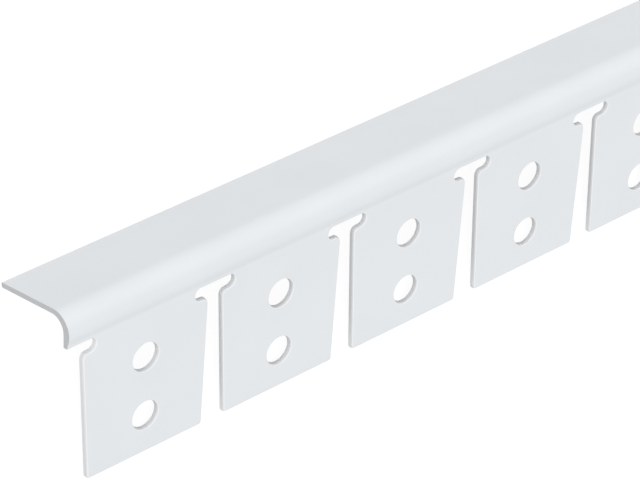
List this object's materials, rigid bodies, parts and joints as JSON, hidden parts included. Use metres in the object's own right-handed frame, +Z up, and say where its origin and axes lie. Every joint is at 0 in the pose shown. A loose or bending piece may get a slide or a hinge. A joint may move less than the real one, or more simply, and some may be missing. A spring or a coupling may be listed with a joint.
{
  "type": "drywall edge bead",
  "caption": "Straight L-shaped strip with a plain flange, a rounded nose and a leg punched into tapered nailing tabs by T-shaped slots, each tab with round holes.",
  "frame": {"origin": "centre of the strip's bounding box, at the floor that its two free edges lie on", "axes": "+X along the strip, away from the sawn end that the picture shows; +Y towards the plain flange's side; +Z up"},
  "size_m": [3, 0.0368, 0.0158],
  "materials": {
    "vinyl": "satin"
  },
  "bodies": {
    "root": {"edge_bead": "vinyl"}
  },
  "joints": []
}
